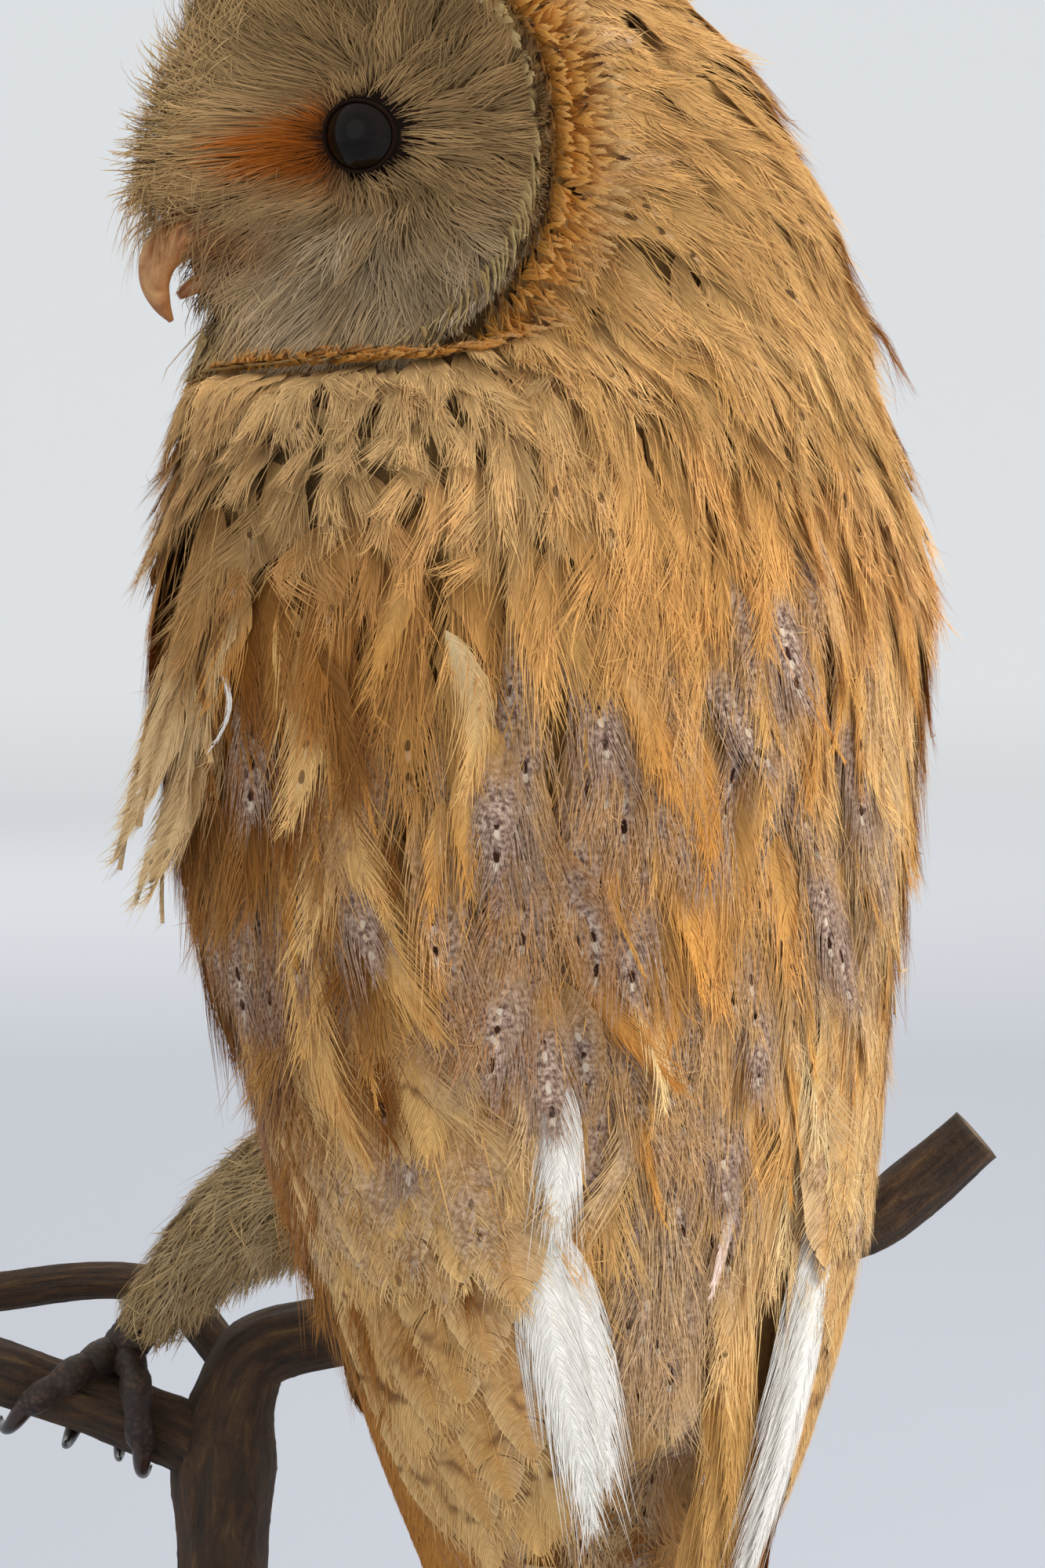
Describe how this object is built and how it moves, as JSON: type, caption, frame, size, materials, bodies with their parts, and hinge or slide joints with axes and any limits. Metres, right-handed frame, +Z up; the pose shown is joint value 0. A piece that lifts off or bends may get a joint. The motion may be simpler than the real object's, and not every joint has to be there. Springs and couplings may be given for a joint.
{
  "type": "taxidermy barn owl",
  "caption": "Mounted barn owl standing upright on a forked branch, head turned to its left, wings folded over the tail, on a turned wooden base",
  "frame": {"origin": "middle of the round base's underside, on the surface the mount stands on", "axes": "+Z up; -Y is the way the bird's breast points; +X is the bird's left, which its turned face looks towards"},
  "size_m": [0.1954, 0.1983, 0.416],
  "materials": {
    "plumage": "soft dry feathers, golden buff with grey vermiculation, cream face",
    "glass_eye": "dark brown glass, polished",
    "bill_horn": "pinkish horn, satin",
    "toes": "dried dark brown skin with fine scales",
    "claws": "black-brown horn, slightly glossy",
    "bark": "dark brown bark, ridged, pale cut ends",
    "base_wood": "dark stained turned wood, satin varnish"
  },
  "bodies": {
    "root": {"head": "plumage", "neck": "plumage", "trunk": "plumage", "tail": "plumage", "wing_left": "plumage", "wing_right": "plumage", "leg_left": "plumage", "leg_right": "plumage", "eye_left": "glass_eye", "eye_right": "glass_eye", "bill_upper": "bill_horn", "bill_lower": "bill_horn", "foot_left": "toes", "foot_right": "toes", "claw_left_1": "claws", "claw_left_2": "claws", "claw_left_3": "claws", "claw_left_4": "claws", "claw_right_1": "claws", "claw_right_2": "claws", "claw_right_3": "claws", "claw_right_4": "claws", "branch": "bark", "stand_base": "base_wood"}
  },
  "joints": []
}
